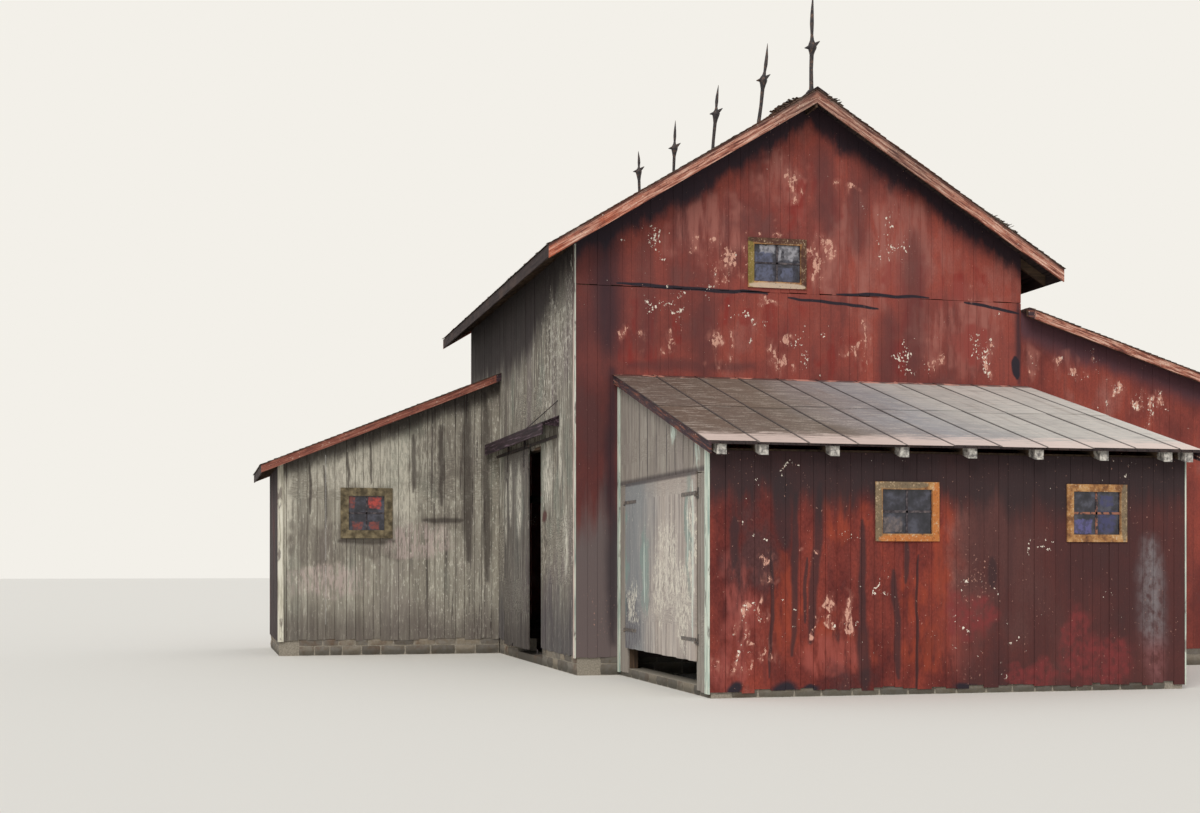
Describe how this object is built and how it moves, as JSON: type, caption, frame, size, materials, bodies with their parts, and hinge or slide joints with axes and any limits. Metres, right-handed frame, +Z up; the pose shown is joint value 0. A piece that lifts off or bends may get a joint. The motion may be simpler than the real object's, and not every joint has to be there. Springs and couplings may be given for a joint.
{
  "type": "red barn with lean-tos and a front shed",
  "caption": "Hollow timber-framed gabled barn with lean-tos on both sides, a front shed, hinged shed doors, a sliding wagon door and rods along the ridge.",
  "frame": {"origin": "ground level, on the outer face of the footing under the middle of the front wall", "axes": "+X right along the front, +Y to the back of the barn, +Z up"},
  "size_m": [18.668, 17.025, 12.1331],
  "materials": {
    "stone": "rough field stone",
    "timber": "rough sawn, weathered",
    "red_boards": "worn red barn paint",
    "grey_boards": "bare, weathered grey",
    "shingles": "weathered wood shingles",
    "trim": "faded salmon paint",
    "casing": "worn ochre paint",
    "glass": "old window glass",
    "shed_sheets": "weathered roofing sheets",
    "door_boards": "weathered grey boards",
    "dark_wood": "dark, tarred boards",
    "iron": "rusty black iron"
  },
  "bodies": {
    "barn": {"footing_side_walls": "stone", "footing_end_walls": "stone", "wagon_doorway_sill": "stone", "main_posts": "timber", "main_girts": "timber", "tie_beams": "timber", "wall_plates": "timber", "knee_braces": "timber", "gable_studs": "timber", "main_rafters": "timber", "ridge_beam": "timber", "front_wall": "red_boards", "front_gable": "red_boards", "rear_wall": "red_boards", "rear_gable": "red_boards", "left_wall": "grey_boards", "left_wall_over_doorways": "grey_boards", "right_wall": "red_boards", "right_wall_over_doorway": "red_boards", "main_roof_left": "dark_wood", "main_roof_right": "dark_wood", "ridge_cap": "trim", "main_shingles": "shingles", "lean_to_shingles": "shingles", "shed_sheets": "shed_sheets", "corner_boards": "trim", "hood_stay": "iron", "verge_boards": "trim", "eave_boards": "trim", "lightning_rods": "iron", "window_frames": "casing", "window_glass": "glass", "lean_to_posts": "timber", "lean_to_beams": "timber", "lean_to_rafters": "timber", "left_lean_to_front": "grey_boards", "right_lean_to_front": "red_boards", "lean_to_side_walls": "red_boards", "lean_to_rear_walls": "red_boards", "left_lean_to_roof": "dark_wood", "right_lean_to_roof": "dark_wood", "shed_posts": "timber", "shed_beams": "timber", "shed_rafters": "timber", "shed_front_wall": "red_boards", "shed_side_walls": "grey_boards", "shed_wall_over_doors": "grey_boards", "shed_roof": "dark_wood", "pintles": "iron", "wagon_door_rail": "iron", "wagon_door_guides": "iron", "track_hood": "dark_wood", "hood_brackets": "dark_wood"},
    "shed_door_front_leaf": {"shed_door_front": "door_boards", "shed_door_front_straps": "iron"},
    "shed_door_rear_leaf": {"shed_door_rear": "door_boards", "shed_door_rear_straps": "iron"},
    "wagon_door_leaf": {"wagon_door": "door_boards", "wagon_door_hangers": "iron"}
  },
  "joints": [
    {"name": "shed_door_front_hinge", "type": "hinge", "parent": "barn", "child": "shed_door_front_leaf", "pos_m": [-3.532, -4.626, 0.5], "axis": [0, 0, 1], "range_deg": [0, 110]},
    {"name": "shed_door_rear_hinge", "type": "hinge", "parent": "barn", "child": "shed_door_rear_leaf", "pos_m": [-3.532, -0.574, 0.5], "axis": [0, 0, -1], "range_deg": [0, 110]},
    {"name": "wagon_door_slide", "type": "slide", "parent": "barn", "child": "wagon_door_leaf", "axis": [0, 1, 0], "range_m": [-2.42, 0.92]}
  ]
}
